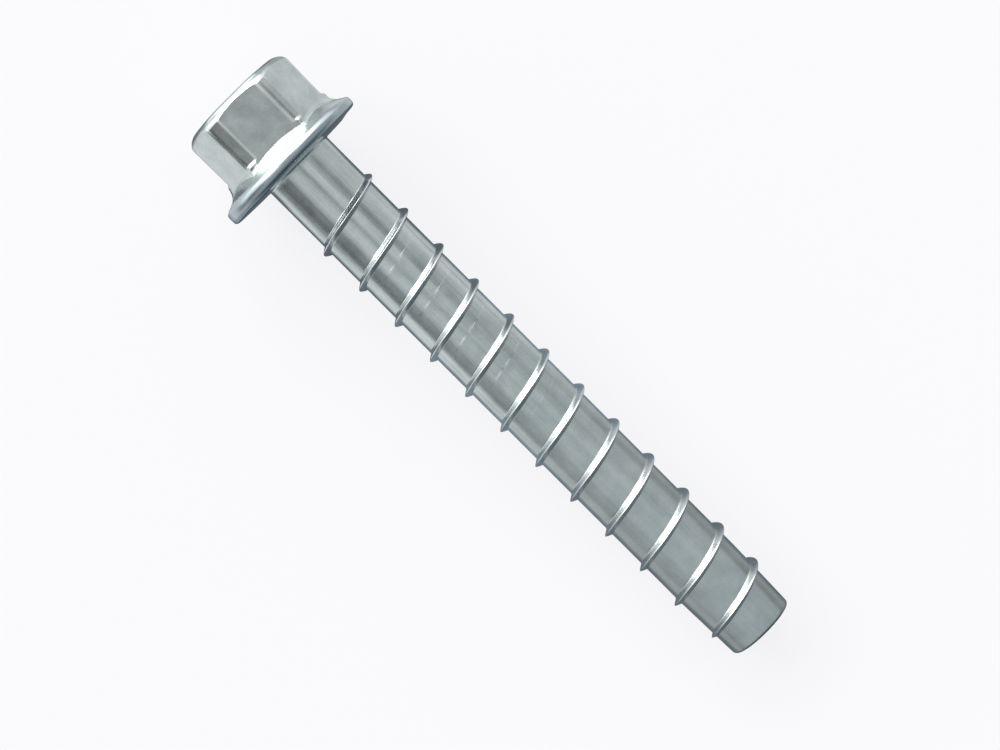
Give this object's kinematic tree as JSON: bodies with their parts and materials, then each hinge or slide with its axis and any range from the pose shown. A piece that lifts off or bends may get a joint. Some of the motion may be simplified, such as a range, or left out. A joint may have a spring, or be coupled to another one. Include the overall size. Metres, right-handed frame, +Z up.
{
  "type": "screw anchor",
  "caption": "Zinc plated steel screw anchor for concrete, with a hexagon flange head and a thin wide-pitched thread, lying as it comes to rest.",
  "frame": {"origin": "on the ground under the middle of the lying screw's box", "axes": "+X from the head towards the tip, +Y across, +Z up; the screw's own axis falls towards the tip by 3.6 degrees, because it rests on its flange and its thread"},
  "size_m": [0.1146, 0.0256, 0.0255],
  "materials": {
    "zinc_plated_steel": "bright zinc plating with fine lengthwise rolling streaks"
  },
  "bodies": {
    "root": {"screw_anchor": "zinc_plated_steel"}
  },
  "joints": []
}
